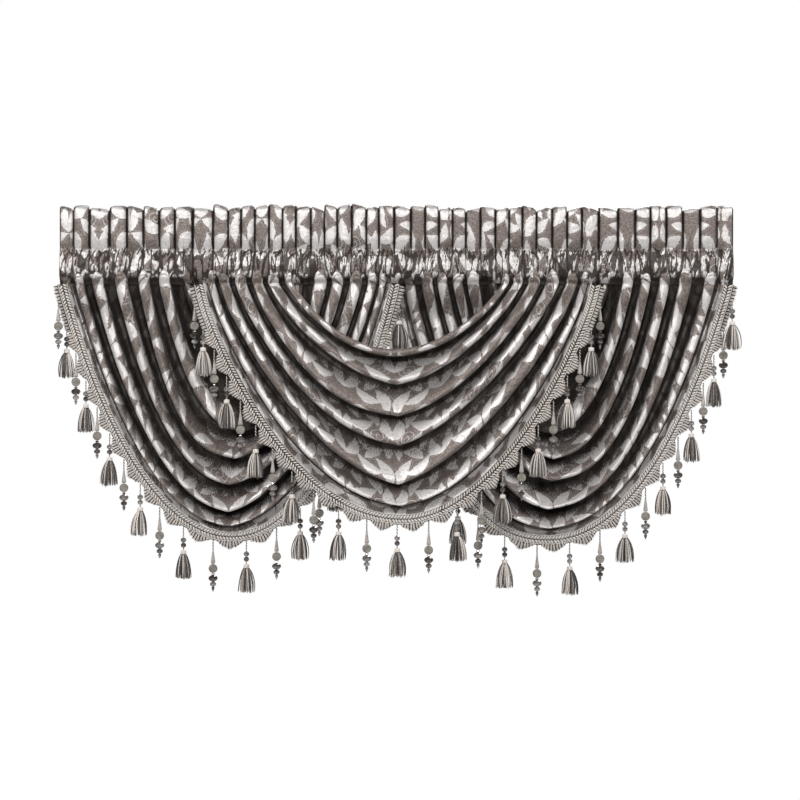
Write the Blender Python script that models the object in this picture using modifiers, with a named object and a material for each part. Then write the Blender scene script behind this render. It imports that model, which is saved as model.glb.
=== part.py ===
"""Waterfall valance: three gathered swags that share one rod, with a braid and tassel fringe.

Blender 4.5 script in metres, +Z up. The front faces -Y. The origin is the middle of the
top edge, at the rod's depth, so all the cloth hangs below z = 0.
"""
import math
from collections import namedtuple

import bmesh
import bpy
import numpy as np
from mathutils import Vector

MM = 0.001

# Heading: a standing ruffle above the rod pocket
RUFFLE_HEIGHT = 100 * MM
POCKET_HEIGHT = 79 * MM
HEADING_HEIGHT = RUFFLE_HEIGHT + POCKET_HEIGHT
RUFFLE_RISE = 8 * MM
POCKET_RISE = 3.5 * MM
PLEAT_FLAT = 0.56
HEADING_END_INSET = 1.1 * MM
TOP_UNEVEN = 3.5 * MM

# Cloth, braid and the clearance between pieces
CLOTH = 2 * MM
HEADING_CLOTH = 2 * MM
BRAID_THICKNESS = 4 * MM
BRAID_WIDTH = 27 * MM
SCALLOP_RISE = 13 * MM
SCALLOP_FREE = 105 * MM
GAP = 0.3 * MM
HEM_GAP = 0.8 * MM
BRAID_TOP = -HEADING_HEIGHT - GAP - 1 * MM

# Hang of the swags
SHOULDER = 1.15
TOP_DEPTH = -6 * MM
FORWARD_RUN = 80 * MM
TOP_RISE = 5.5 * MM
HEM_RISE_SHARE = 0.3
CREST_SAG = 0.14
ROWS_PER_FOLD = 3
CURVE_SAMPLES = 400

# Drops of the fringe, one to each column of the cloth
ROOT_SUNK = 1.2 * MM
STRAND_SIDES = 4

# Skirt of a tassel: four locks parted at the neck, each spread and widened towards its foot
LOCK_PARTING = 0.8 * MM
LOCK_LENGTH = 52 * MM
LOCK_SPREAD = Vector((9.5 * MM, 5 * MM, 0))
LOCK_GROWTH = Vector((3.3, 2.2, 1))

# Each heading is one gathered section on the rod: its recesses between pleats, in mm
Heading = namedtuple("Heading", "name recesses")
HEADINGS = (
    Heading("heading_left_outer", (-764, -732, -696, -650, -610, -573, -537, -502, -462)),
    Heading("heading_centre_left", (-462, -415, -381, -352, -321, -289, -258, -228)),
    Heading("heading_left_inner", (-228, -194, -163, -134, -101, -68, -40, -5)),
    Heading("heading_right_inner", (-5, 33, 65, 96, 127, 157, 190, 224)),
    Heading("heading_centre_right", (224, 255, 285, 317, 353, 387, 420, 458)),
    Heading("heading_right_outer", (458, 502, 541, 575, 611, 649, 688, 726, 764)),
)

# Side section of a heading from the top of the ruffle round the pocket: depth, height, pleating
Section = namedtuple("Section", "depth height rise")
HEADING_SECTION = (
    Section(-1, 0, 1.0),
    Section(-4, -98, 1.0),
    Section(-18, -117, 0.8),
    Section(-19, -157, 1.0),
    Section(-6, -177.2, 1.5),
    Section(16, -161, 0.6),
    Section(18, -128, 0.5),
    Section(8, -104, 0.5),
)

# Folds of each swag from its top edge to its hem, in mm: the fold's ends along the heading,
# the place and drop of its lowest point, and how full its two sides are
Fold = namedtuple("Fold", "left bottom drop right belly_left belly_right")
CENTRE_FOLDS = (
    Fold(-239, -3, 161, 246, 2.00, 1.90),
    Fold(-280, 1, 222, 274, 1.60, 1.65),
    Fold(-314, 3, 291, 312, 2.15, 1.65),
    Fold(-353, 8, 354, 353, 1.90, 1.50),
    Fold(-392, 3, 445, 401, 1.65, 1.50),
    Fold(-421, 8, 497, 428, 1.90, 1.80),
    Fold(-439, 17, 524, 443, 2.10, 1.90),
)
LEFT_FOLDS = (
    Fold(-472, -305, 202, -228, 2.00, 2.00),
    Fold(-526, -345, 329, -169, 2.30, 2.00),
    Fold(-571, -365, 388, -135, 2.60, 1.95),
    Fold(-623, -380, 447, -91, 2.10, 1.95),
    Fold(-678, -382, 511, -52, 2.00, 1.75),
    Fold(-720, -380, 546, -31, 2.05, 1.90),
    Fold(-748, -373, 567, -13, 2.05, 2.00),
)
RIGHT_FOLDS = (
    Fold(226, 300, 202, 472, 2.00, 2.00),
    Fold(170, 345, 334, 526, 2.00, 2.20),
    Fold(140, 356, 390, 564, 2.00, 2.25),
    Fold(103, 355, 438, 607, 2.00, 2.45),
    Fold(71, 345, 504, 653, 2.05, 2.30),
    Fold(28, 344, 552, 714, 2.25, 2.15),
    Fold(-4, 344, 574, 743, 2.40, 2.10),
)

# Each swag hangs at its own depth on its left side, at its bottom and on its right side, in mm, so
# that the centre one lies in front and the left one laps the right one where they meet. Its rises
# are half the depth of its folds at the same three places.
Swag = namedtuple("Swag", "name folds depths rises laps drops")

# Where a swag starts behind another one along the heading: place and how much further back, in mm
LEFT_LAPS = ((-505, 0), (-482, 13), (-228, 13), (-200, 0))
RIGHT_LAPS = ((32, 16), (78, 0), (200, 0), (228, 13), (482, 13), (505, 0))
SWAGS = (
    Swag("left", LEFT_FOLDS, (16, 12, -6), (15, 18, 10), LEFT_LAPS, 22),
    Swag("centre", CENTRE_FOLDS, (-56, -62, -56), (16, 20, 16), ((0, 0),), 23),
    Swag("right", RIGHT_FOLDS, (30, 14, 16), (10, 18, 15), RIGHT_LAPS, 22),
)

# Turned outline of a drop's stem below its root: distance down and radius, in mm
BEAD_DROP = ((-4, 0), (-1, 2.2), (50, 2.6), (60, 10), (71, 2.6), (83, 9), (113, 0))
TASSEL_STEM = ((-4, 0), (-1, 2.2), (24, 2.4), (33, 5.6), (42, 2.4), (58, 6.5))
Finish = namedtuple("Finish", "name colour roughness metallic")
JACQUARD = Finish("satin_jacquard", (0.36, 0.33, 0.32), 0.42, 0.0)
BRAID = Finish("braid_and_tassels", (0.30, 0.27, 0.25), 0.7, 0.0)


def clear_scene():
    for thing in list(bpy.data.objects):
        bpy.data.objects.remove(thing, do_unlink=True)


def new_collection(name):
    collection = bpy.data.collections.new(name)
    bpy.context.scene.collection.children.link(collection)
    return collection


def finish_material(finish, owner):
    material = bpy.data.materials.new(f"{finish.name}_{owner}")
    material.use_nodes = True
    shader = material.node_tree.nodes["Principled BSDF"]
    shader.inputs["Base Color"].default_value = (*finish.colour, 1)
    shader.inputs["Roughness"].default_value = finish.roughness
    shader.inputs["Metallic"].default_value = finish.metallic
    return material


def sheet_object(name, columns, rows, place, thickness, finish, collection):
    """A grid of columns x rows cells, each point moved by place(column, row), then thickened."""
    mesh = bpy.data.meshes.new(name)
    grid = bmesh.new()
    bmesh.ops.create_grid(grid, x_segments=columns, y_segments=rows, size=0.5)
    for point in grid.verts:
        column = round((point.co.x + 0.5) * columns)
        row = round((point.co.y + 0.5) * rows)
        point.co = place(column, row)
    grid.to_mesh(mesh)
    grid.free()
    sheet = bpy.data.objects.new(name, mesh)
    mesh.materials.append(finish_material(finish, name))
    collection.objects.link(sheet)
    solid = sheet.modifiers.new("thickness", "SOLIDIFY")
    solid.thickness = thickness
    solid.offset = 0
    return sheet


def pleat_wave(recesses):
    """Columns across the pleats: three a pleat, as x and how far back each lies (1 is a recess)."""
    columns = []
    for start, end in zip(recesses, recesses[1:]):
        middle = (start + end) / 2
        flat = PLEAT_FLAT * (end - start) / 2
        columns += [(start, 1.0), (middle - flat, -1.0), (middle + flat, -1.0)]
    columns.append((recesses[-1], 1.0))
    return columns


def heading(section, collection):
    """One gathered section: a pleated ruffle that runs down into the open tube of the rod pocket."""
    columns = pleat_wave([x * MM for x in section.recesses])
    first_x = columns[0][0] + HEADING_END_INSET
    last_x = columns[-1][0] - HEADING_END_INSET

    def place(column, row):
        x, back = columns[column]
        side = HEADING_SECTION[row]
        x = min(max(x, first_x), last_x)
        y = side.depth * MM + back * side.rise * (RUFFLE_RISE if row < 2 else POCKET_RISE)
        z = side.height * MM
        if row == 0:
            z -= TOP_UNEVEN * (0.5 + 0.5 * math.sin(x * 71)) + TOP_UNEVEN * 0.5 * (back + 1)
        return Vector((x, y, z))

    last_row = len(HEADING_SECTION) - 1
    return sheet_object(section.name, len(columns) - 1, last_row, place, HEADING_CLOTH, JACQUARD, collection)


def blend_folds(folds, level):
    """The fold at a level between two rows of the table, in metres."""
    lower = min(int(level), len(folds) - 2)
    share = level - lower
    near, far = folds[lower], folds[lower + 1]
    mixed = [a + (b - a) * share for a, b in zip(near, far)]
    return Fold(*[value * MM for value in mixed[:4]], *mixed[4:])


def fold_line(fold):
    """One fold seen from the front: x, z below the heading and side (-1 left to 1 right), with its length."""
    side = np.sin(np.linspace(-math.pi / 2, math.pi / 2, CURVE_SAMPLES))
    belly = np.where(side < 0, fold.belly_left, fold.belly_right)
    x = np.where(side < 0, fold.bottom + side * (fold.bottom - fold.left),
                 fold.bottom + side * (fold.right - fold.bottom))
    z = -fold.drop * (1 - np.abs(side) ** belly) ** (1 / SHOULDER)
    length = np.concatenate(([0], np.cumsum(np.hypot(np.diff(x), np.diff(z)))))
    return x, z, side, length


def across_swag(values, side):
    """Blends three values in mm, for the left side, the bottom and the right side of a swag."""
    left, bottom, right = values
    return (bottom + ((left if side < 0 else right) - bottom) * side * side) * MM


def hang_depth(swag, side, x, z):
    """How far back the middle of the cloth hangs: it leaves the pocket and settles at its own depth."""
    top = TOP_DEPTH + np.interp(x / MM, *zip(*swag.laps)) * MM
    settled = across_swag(swag.depths, side)
    share = min(1, -z / FORWARD_RUN)
    ease = share * share * (3 - 2 * share)
    return top + (settled - top) * ease


def fold_rise(swag, side, z):
    """Half the depth of the folds: shallow in the gathers, deepest at the bottom of the swag."""
    share = min(1, -z / FORWARD_RUN)
    return TOP_RISE + (across_swag(swag.rises, side) - TOP_RISE) * share


def cloth_line(swag, row):
    """Points of the cloth at one row, counted from the top edge: x, y, z and length along it."""
    turn = row / ROWS_PER_FOLD
    wave = math.cos(2 * math.pi * turn)
    last_fold = len(swag.folds) - 1
    share = HEM_RISE_SHARE if turn > last_fold - 1 else 1
    crest_x, crest_z, side, length = fold_line(blend_folds(swag.folds, turn))
    lifted = max(0, turn - CREST_SAG * (1 - wave) / 2)
    lift_x, lift_z, _, _ = fold_line(blend_folds(swag.folds, lifted))
    droop = 1 - side * side
    x = crest_x + (lift_x - crest_x) * droop
    z = crest_z + (lift_z - crest_z) * droop
    y = [hang_depth(swag, s, a, d) - share * wave * fold_rise(swag, s, d) for s, a, d in zip(side, x, z)]
    return x, np.array(y), z, length


def hem_row(swag):
    return ROWS_PER_FOLD * (len(swag.folds) - 1)


def even_points(swag, row):
    """The corner points of one row of the cloth, evenly stepped along it, and their distances."""
    x, y, z, length = cloth_line(swag, row)
    even = np.linspace(0, length[-1], swag.drops + 1)
    x, y, z = (np.interp(even, length, values) for values in (x, y, z))
    return x, y, z - HEADING_HEIGHT - GAP, even


def panel(swag, collection):
    """One swag of cloth, its folds running from shoulder to shoulder, hung just below the headings."""
    rows = hem_row(swag)
    lines = [even_points(swag, row) for row in range(rows + 1)]

    def place(column, row):
        return Vector([values[column] for values in lines[row][:3]])

    return sheet_object(f"panel_{swag.name}", swag.drops, rows, place, CLOTH, JACQUARD, collection)


def hem_line(swag):
    """The hem as a function of the length along it: a point and the outward direction there."""
    smooth_x, _, smooth_z, length = cloth_line(swag, hem_row(swag))
    slope_x = np.gradient(smooth_x, length)
    slope_z = np.gradient(smooth_z, length)
    x, y, z, even = even_points(swag, hem_row(swag))

    def at(distance):
        point = Vector([np.interp(distance, even, values) for values in (x, y, z)])
        along = Vector((np.interp(distance, length, slope_x), 0, np.interp(distance, length, slope_z)))
        outward = Vector((along.z, 0, -along.x)).normalized()
        return point, outward

    return at, length[-1]


def braid_width(distance, total, pitch):
    """The braid's width at one place: a scallop stands out between each two drops away from its ends."""
    if distance < SCALLOP_FREE or distance > total - SCALLOP_FREE:
        return BRAID_WIDTH
    from_corner = abs(distance / pitch - round(distance / pitch))
    return BRAID_WIDTH + SCALLOP_RISE * (1 - 2 * from_corner)


def turned_strand(mesh, outline, root):
    """A thin strand turned from an outline of distance down and radius, hung from its root."""
    rows = [mesh.verts.new(root + Vector((radius * MM, 0, -down * MM))) for down, radius in outline]
    edges = [mesh.edges.new(pair) for pair in zip(rows, rows[1:])]
    bmesh.ops.spin(mesh, geom=rows + edges, cent=root, axis=(0, 0, 1), angle=2 * math.pi,
                   steps=STRAND_SIDES, use_duplicate=False)
    bmesh.ops.remove_doubles(mesh, verts=mesh.verts[:], dist=0.00001)


def tassel_skirt(mesh, root):
    """Closes the neck of a tassel's stem and draws its four locks out of it."""
    neck = [edge for edge in mesh.edges if edge.is_boundary]
    base = bmesh.ops.holes_fill(mesh, edges=neck)["faces"]
    parts = bmesh.ops.poke(mesh, faces=base)["faces"]
    bmesh.ops.inset_individual(mesh, faces=parts, thickness=LOCK_PARTING)
    feet = bmesh.ops.extrude_discrete_faces(mesh, faces=parts)["faces"]
    for foot in feet:
        middle = foot.calc_center_median()
        spread = Vector((math.copysign(LOCK_SPREAD.x, middle.x - root.x),
                         math.copysign(LOCK_SPREAD.y, middle.y - root.y), -LOCK_LENGTH))
        for point in foot.verts:
            point.co = Vector((root.x, root.y, middle.z)) + spread + (point.co - middle) * LOCK_GROWTH


def drops_object(swag, at, pitch, cutters):
    """All the drops of one trim, tassels and bead strings in turn."""
    drops = bmesh.new()
    for number in range(swag.drops):
        point, outward = at((number + 0.5) * pitch)
        root = point + outward * (HEM_GAP + BRAID_WIDTH - ROOT_SUNK)
        one = bmesh.new()
        is_tassel = number % 2 == 1
        turned_strand(one, TASSEL_STEM if is_tassel else BEAD_DROP, root)
        if is_tassel:
            tassel_skirt(one, root)
        bmesh.ops.recalc_face_normals(one, faces=one.faces[:])
        scratch = bpy.data.meshes.new("one_drop")
        one.to_mesh(scratch)
        one.free()
        drops.from_mesh(scratch)
        bpy.data.meshes.remove(scratch)
    mesh = bpy.data.meshes.new(f"drops_{swag.name}")
    drops.to_mesh(mesh)
    drops.free()
    thing = bpy.data.objects.new(f"drops_{swag.name}", mesh)
    thing.hide_render = True
    thing.display_type = "WIRE"
    cutters.objects.link(thing)
    return thing


def trim(swag, collection, cutters):
    """The braid along one hem with its scalloped edge, and the drops fused to it at their roots."""
    at, total = hem_line(swag)
    pitch = total / swag.drops

    def place(column, row):
        distance = column * pitch / 2
        point, outward = at(distance)
        width = braid_width(distance, total, pitch)
        corner = point + outward * (HEM_GAP + row * width)
        corner.z = min(corner.z, BRAID_TOP)
        return corner

    name = f"trim_{swag.name}"
    braid = sheet_object(name, 2 * swag.drops, 1, place, BRAID_THICKNESS, BRAID, collection)
    fuse = braid.modifiers.new("fused_roots", "BOOLEAN")
    fuse.operation = "UNION"
    fuse.solver = "EXACT"
    fuse.use_self = True
    fuse.object = drops_object(swag, at, pitch, cutters)
    return braid


def main():
    clear_scene()
    valance = new_collection("waterfall_valance")
    cutters = new_collection("cutters")
    for section in HEADINGS:
        heading(section, valance)
    for swag in SWAGS:
        panel(swag, valance)
        trim(swag, valance, cutters)


main()
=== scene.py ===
"""Waterfall valance, dressed: jacquard swags, gathered headings, braid, tassels and bead drops.

The solids of the frame are replaced by fine cloth and thread on the same folds. Metres, +Z up,
the front faces -Y, and the origin is the middle of the top edge.
"""
import math
from collections import namedtuple

import bpy
import numpy as np
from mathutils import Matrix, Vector


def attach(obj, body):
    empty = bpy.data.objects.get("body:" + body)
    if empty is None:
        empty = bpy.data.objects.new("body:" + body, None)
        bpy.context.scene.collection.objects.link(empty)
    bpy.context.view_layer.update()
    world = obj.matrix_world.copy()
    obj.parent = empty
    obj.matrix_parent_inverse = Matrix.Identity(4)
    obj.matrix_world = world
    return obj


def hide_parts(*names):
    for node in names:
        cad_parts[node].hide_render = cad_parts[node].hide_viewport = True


MM = 0.001

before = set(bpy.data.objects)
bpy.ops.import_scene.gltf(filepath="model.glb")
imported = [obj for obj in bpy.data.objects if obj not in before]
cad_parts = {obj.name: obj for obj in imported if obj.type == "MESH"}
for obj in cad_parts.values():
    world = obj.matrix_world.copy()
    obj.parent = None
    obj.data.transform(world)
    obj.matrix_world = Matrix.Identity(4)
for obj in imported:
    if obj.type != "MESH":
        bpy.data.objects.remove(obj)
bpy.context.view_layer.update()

# The photograph's frame: one pixel of its 800 in metres, and the pixel of the origin
PIXEL = 2.27 * MM
PHOTO_SIZE = 800
ORIGIN_PIXEL = (396.5, 204)
CAMERA_DISTANCE = 6.0
SENSOR = 36

# Fineness of a heading
PLEAT_COLUMNS = 20
HEADING_ROWS = 60

# Heading sizes, as in the solids: each pleat lies between two of the places along X, in mm
HEADING_HEIGHT = 179 * MM
HEADING_END_INSET = 0.5 * MM
PLEAT_PUFF = 12
HEADINGS = {
    "heading_left_outer": (-764, -732, -696, -650, -610, -573, -537, -502, -462),
    "heading_centre_left": (-462, -415, -381, -352, -321, -289, -258, -228),
    "heading_left_inner": (-228, -194, -163, -134, -101, -68, -40, -5),
    "heading_right_inner": (-5, 33, 65, 96, 127, 157, 190, 224),
    "heading_centre_right": (224, 255, 285, 317, 353, 387, 420, 458),
    "heading_right_outer": (458, 502, 541, 575, 611, 649, 688, 726, 764),
}

# Hang of the swags, as in the solids
SHOULDER = 1.15
TOP_DEPTH = -6 * MM
FORWARD_RUN = 80 * MM
TOP_RISE = 9 * MM
RISE_RUN = 50 * MM
HEM_RISE_SHARE = 0.3
CREST_SAG = 0.30
POINT_DROP = 7 * MM
POINT_REACH = 0.07
STEEPNESS = 1.05
CREST_SHARE = 0.4
GAP = 0.3 * MM
HEM_GAP = 0.8 * MM
CURVE_SAMPLES = 500

# A fold's left end, lowest point and right end along X and its drop below the heading, in mm, and how
# square each half of its curve is
Fold = namedtuple("Fold", "left bottom drop right belly_left belly_right")

# A swag's depths and the rises of its folds, half their depth, are for its left side, its bottom
# and its right side, in mm
Swag = namedtuple("Swag", "name folds depths rises laps drops")

# Where a swag starts behind another one along the heading: place and how much further back, in mm
LEFT_LAPS = ((-505, 0), (-482, 13), (-228, 13), (-200, 0))
RIGHT_LAPS = ((32, 16), (78, 0), (200, 0), (228, 13), (482, 13), (505, 0))
SWAGS = (
    Swag("left", (
        Fold(-472, -305, 202, -228, 2.00, 2.00),
        Fold(-526, -345, 329, -169, 2.30, 2.00),
        Fold(-571, -365, 388, -135, 2.60, 1.95),
        Fold(-623, -380, 447, -91, 2.10, 1.95),
        Fold(-678, -382, 511, -52, 2.00, 1.75),
        Fold(-720, -380, 546, -31, 2.05, 1.90),
        Fold(-748, -373, 567, -13, 2.05, 2.00),
    ), (16, 12, -6), (19, 22, 12), LEFT_LAPS, 22),
    Swag("centre", (
        Fold(-239, -3, 161, 246, 2.00, 1.90),
        Fold(-280, 1, 222, 274, 1.60, 1.65),
        Fold(-314, 3, 291, 312, 2.15, 1.65),
        Fold(-353, 8, 354, 353, 1.90, 1.50),
        Fold(-392, 3, 445, 401, 1.65, 1.50),
        Fold(-421, 8, 497, 428, 1.90, 1.80),
        Fold(-439, 17, 524, 443, 2.10, 1.90),
    ), (-56, -62, -56), (20, 24, 20), ((0, 0),), 23),
    Swag("right", (
        Fold(226, 300, 202, 472, 2.00, 2.00),
        Fold(170, 345, 334, 526, 2.00, 2.20),
        Fold(140, 356, 390, 564, 2.00, 2.25),
        Fold(103, 355, 438, 607, 2.00, 2.45),
        Fold(71, 345, 504, 653, 2.05, 2.30),
        Fold(28, 344, 552, 714, 2.25, 2.15),
        Fold(-4, 344, 574, 743, 2.40, 2.10),
    ), (30, 14, 16), (12, 22, 19), RIGHT_LAPS, 22),
)

# Creases: soft troughs (depth above 0) and ridges across the folds, in mm
Crease = namedtuple("Crease", "turn side turn_reach side_reach depth")
CREASES = {
    "left": (
        (2.0, 0.10, 0.25, 0.05, 5), (3.0, 0.16, 0.30, 0.06, 6), (4.0, 0.12, 0.30, 0.05, 6),
        (4.9, 0.05, 0.25, 0.05, 4), (3.5, 0.42, 0.40, 0.06, -4), (2.4, -0.30, 0.35, 0.05, 3),
        (5.3, -0.25, 0.30, 0.08, -3), (4.4, 0.55, 0.45, 0.07, 4),
    ),
    "centre": (
        (1.0, 0.04, 0.25, 0.04, 4), (2.0, 0.00, 0.30, 0.04, 6), (3.0, -0.03, 0.30, 0.045, 6),
        (4.0, 0.02, 0.25, 0.05, 5), (2.5, -0.40, 0.40, 0.05, -3), (3.6, 0.36, 0.40, 0.06, -4),
        (4.6, -0.22, 0.35, 0.07, 4), (5.2, 0.20, 0.30, 0.09, -3), (1.6, 0.30, 0.30, 0.05, 3),
    ),
    "right": (
        (2.0, -0.12, 0.25, 0.05, 5), (3.0, -0.18, 0.30, 0.06, 6), (4.0, -0.10, 0.30, 0.05, 6),
        (4.9, -0.04, 0.25, 0.05, 4), (3.5, -0.45, 0.40, 0.06, -4), (2.5, 0.33, 0.35, 0.05, 3),
        (5.3, 0.24, 0.30, 0.08, -3), (4.4, -0.58, 0.45, 0.07, 4),
    ),
}

# Fineness of the cloth
CLOTH_COLUMNS = 180
ROWS_PER_FOLD = 20
LEVELS_PER_FOLD = 30
CLOTH_THICKNESS = 0.9 * MM
LATTICE = 64

# The cloth's length is measured on this many columns to each side of a swag's bottom, and its first
# row is a seam allowance that lies this far from the top edge, in mm
BOTTOM_COLUMNS = 20
SEAM_OFFSET = (0, 2, 9)

# Unevenness along the folds: its height, the length of one lump in metres, where its noise starts and
# how fast it changes from fold to fold
Relief = namedtuple("Relief", "height lump start pace")
UNEVEN_FOLDS = Relief(0.22, 0.16, 9, 1.3)
MINOR_FOLDS = Relief(2.6 * MM, 0.11, 0, 4.1)
CRINKLES = Relief(1.1 * MM, 0.017, 0, 5.5)

# Painted shade in the cloth's folds: less on the faces at a swag's bottom, more on the cloth of a side
# swag that hangs behind the centre one. A higher power on the painted shade makes the light crests wider.
FACE_LIGHT = {"left": 0.35, "centre": 0.65, "right": 0.35}
CREST_SHADE_POWER = {"left": 1.4, "centre": 1.9, "right": 1.4}
INNER_CREST_SHADE_POWER = 1.8
BEHIND_SHADE = 0.85

# Which side of a swag faces the middle of the valance
INWARD = {"left": 1, "centre": 0, "right": -1}

# Stretches over which one state of the cloth goes over into another: in turns of the folds from the
# top edge, in shares of a swag's side from its bottom to its inner end, or in metres down
POINTS_START = (0.6, 2)
POINTS_STOP = (4.6, 5.6)
FACE_TURNS = (0.4, 0.62)
TOP_EDGE_TURNS = (0, 0.12)
FIRST_TURNS = (0.74, 0.92)
BESIDE_TURNS = (0.9, 1.7)
BESIDE_START = (-0.35, 0)
BESIDE_STOP = (0.5, 0.8)
WIDER_CRESTS = (0.2, 0.7)
INNER_TUBES = (0.3, 0.8)
NEAR_TOP = (0, 40 * MM)

# Ends of the folds over the pocket's foot: rows, and in mm how far they reach up, how far they puff out,
# how deep the crease across them is, and at what depth the ends of a crest and of a valley lie
KNUCKLE_ROWS = 13
KNUCKLE_REACH = 34
KNUCKLE_PUFF = 10
KNUCKLE_CREASE = 2.5
CREST_END = -12
VALLEY_END = 8

# The same in shares: a valley's reach beside a crest's, the least and the greatest height of a knuckle,
# the place and half the width of its crease, and where it goes over into the painted shade behind the
# pocket
VALLEY_REACH = 0.2
KNUCKLE_TALL = (0.8, 1.2)
CREASE_PLACE = 0.45
CREASE_HALF = 0.07
KNUCKLE_SHADE = (0.78, 0.95)


def lattice_noise(a, b, seed):
    """Smooth random heights from -1 to 1 over a plane, one unit a lump."""
    heights = np.random.default_rng(seed).uniform(-1, 1, (LATTICE, LATTICE))
    cell_a = np.floor(a).astype(int)
    cell_b = np.floor(b).astype(int)
    share_a = a - cell_a
    share_b = b - cell_b
    share_a = share_a * share_a * (3 - 2 * share_a)
    share_b = share_b * share_b * (3 - 2 * share_b)
    this_a = cell_a % LATTICE
    this_b = cell_b % LATTICE
    next_a = (cell_a + 1) % LATTICE
    next_b = (cell_b + 1) % LATTICE
    near = heights[this_a, this_b] * (1 - share_a) + heights[next_a, this_b] * share_a
    far = heights[this_a, next_b] * (1 - share_a) + heights[next_a, next_b] * share_a
    return near * (1 - share_b) + far * share_b


def smooth_step(low, high, value):
    """0 below low, 1 above high, and a smooth way between."""
    share = np.clip((value - low) / (high - low), 0, 1)
    return share * share * (3 - 2 * share)


def link(thing):
    """Puts an object into the scene."""
    bpy.context.scene.collection.objects.link(thing)
    return thing


def grid_sheet(name, points, cloth_uv, depth, material):
    """A sheet from rows x columns of points, with its flat cloth coordinates in metres as UVs.

    Depth is how much painted shade each point gets, from 0 on a crest to 1 in a valley.
    """
    rows, columns = points.shape[:2]
    corner = np.arange(rows * columns).reshape(rows, columns)
    quads = np.stack([corner[:-1, :-1], corner[:-1, 1:], corner[1:, 1:], corner[1:, :-1]], axis=-1)
    quads = quads.reshape(-1, 4)
    mesh = bpy.data.meshes.new(name)
    mesh.from_pydata(points.reshape(-1, 3).tolist(), [], quads.tolist())
    layer = mesh.uv_layers.new(name="cloth")
    layer.data.foreach_set("uv", cloth_uv.reshape(-1, 2)[quads.reshape(-1)].astype(np.float32).ravel())
    # the painted shade is kept in the fold attribute, which the jacquard reads
    tone = mesh.attributes.new("fold", "FLOAT", "POINT")
    tone.data.foreach_set("value", depth.astype(np.float32).ravel())
    mesh.polygons.foreach_set("use_smooth", [True] * len(mesh.polygons))
    mesh.materials.append(material)
    sheet = link(bpy.data.objects.new(name, mesh))
    solid = sheet.modifiers.new("thickness", "SOLIDIFY")
    solid.thickness = CLOTH_THICKNESS
    solid.offset = 0
    return sheet


def blend_folds(folds, level):
    """The fold at a level between two rows of the table, in metres."""
    lower = min(int(level), len(folds) - 2)
    share = level - lower
    mixed = [a + (b - a) * share for a, b in zip(folds[lower], folds[lower + 1])]
    return Fold(*[value * MM for value in mixed[:4]], *mixed[4:])


def fold_line(fold, columns):
    """One fold from the front, evenly stepped: x, z below the heading, side (-1 to 1) and length."""
    side = np.sin(np.linspace(-math.pi / 2, math.pi / 2, CURVE_SAMPLES))
    belly = np.where(side < 0, fold.belly_left, fold.belly_right)
    x = fold.bottom + side * np.where(side < 0, fold.bottom - fold.left, fold.right - fold.bottom)
    z = -fold.drop * (1 - np.abs(side) ** belly) ** (1 / SHOULDER)
    length = np.concatenate(([0], np.cumsum(np.hypot(np.diff(x), np.diff(z)))))
    even = np.linspace(0, length[-1], columns)
    x, z, side = (np.interp(even, length, values) for values in (x, z, side))
    return x, z, side, length[-1]


def across_swag(values, side):
    """Blends three values in mm, for the left side, the bottom and the right side of a swag."""
    left, bottom, right = values
    return (bottom + (np.where(side < 0, left, right) - bottom) * side * side) * MM


def hang_depth(swag, side, x, z):
    """How far back the middle of the cloth hangs once it has left the pocket."""
    top = TOP_DEPTH + np.interp(x / MM, *zip(*swag.laps)) * MM
    settled = across_swag(swag.depths, side)
    return top + (settled - top) * smooth_step(0, FORWARD_RUN, -z)


def fold_rise(swag, side, z):
    """Half the depth of the folds at one place."""
    return TOP_RISE + (across_swag(swag.rises, side) - TOP_RISE) * smooth_step(0, RISE_RUN, -z)


def at_level(table, level):
    """Each column's value from a table of fold lines, at that column's own level."""
    place = np.clip(level * LEVELS_PER_FOLD, 0, len(table) - 1)
    lower = np.minimum(place.astype(int), len(table) - 2)
    share = place - lower
    column = np.arange(table.shape[1])
    return table[lower, column] * (1 - share) + table[lower + 1, column] * share


def relief(kind, along, turn, seed):
    """One kind of unevenness along a row of the cloth."""
    pace = np.full(CLOTH_COLUMNS, turn * kind.pace)
    return kind.height * lattice_noise(along / kind.lump + kind.start, pace, seed)


def fold_level(swag, turn, hang, wave):
    """Where between the fold lines a row lies: its crests wide at the sides and sagging at the bottom."""
    full, inward = hang
    level = turn + (1 - full) * STEEPNESS * math.sin(4 * math.pi * turn) / (4 * math.pi)
    widen = CREST_SHARE * (1 if swag.name == "centre" else smooth_step(*WIDER_CRESTS, inward))
    level = level + (1 - full) * widen * math.sin(2 * math.pi * turn) / (2 * math.pi)
    return level - full * CREST_SAG * (1 - wave) / 2


def painted_fold_shade(swag, turn, hang, wave, near_top):
    """How much painted shade a row gets, from 0 on a crest to 1 in a valley or behind another swag."""
    full, inward = hang
    # the crest's shade power: a higher power narrows the painted shade and widens the light crest
    tone = CREST_SHADE_POWER[swag.name]
    crest_width = tone - (tone - 1) * full * near_top + INNER_CREST_SHADE_POWER * smooth_step(*INNER_TUBES, inward)
    shown = FACE_LIGHT[swag.name] * full * smooth_step(*FACE_TURNS, turn % 1)
    painted_shade = ((1 - wave) / 2) ** crest_width * (1 - shown)
    if turn > len(swag.folds) - 1.5:
        painted_shade = painted_shade * HEM_RISE_SHARE
    # painted shade on a side swag's cloth beside and behind the centre swag
    if swag.name != "centre":
        beside = smooth_step(*BESIDE_START, inward) * (1 - smooth_step(*BESIDE_STOP, inward))
        beside = beside * (1 - smooth_step(*BESIDE_TURNS, turn))
        behind = np.maximum(beside, 1 - smooth_step(*FIRST_TURNS, turn))
        painted_shade = np.maximum(painted_shade, BEHIND_SHADE * smooth_step(*TOP_EDGE_TURNS, turn) * behind)
    return painted_shade


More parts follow.
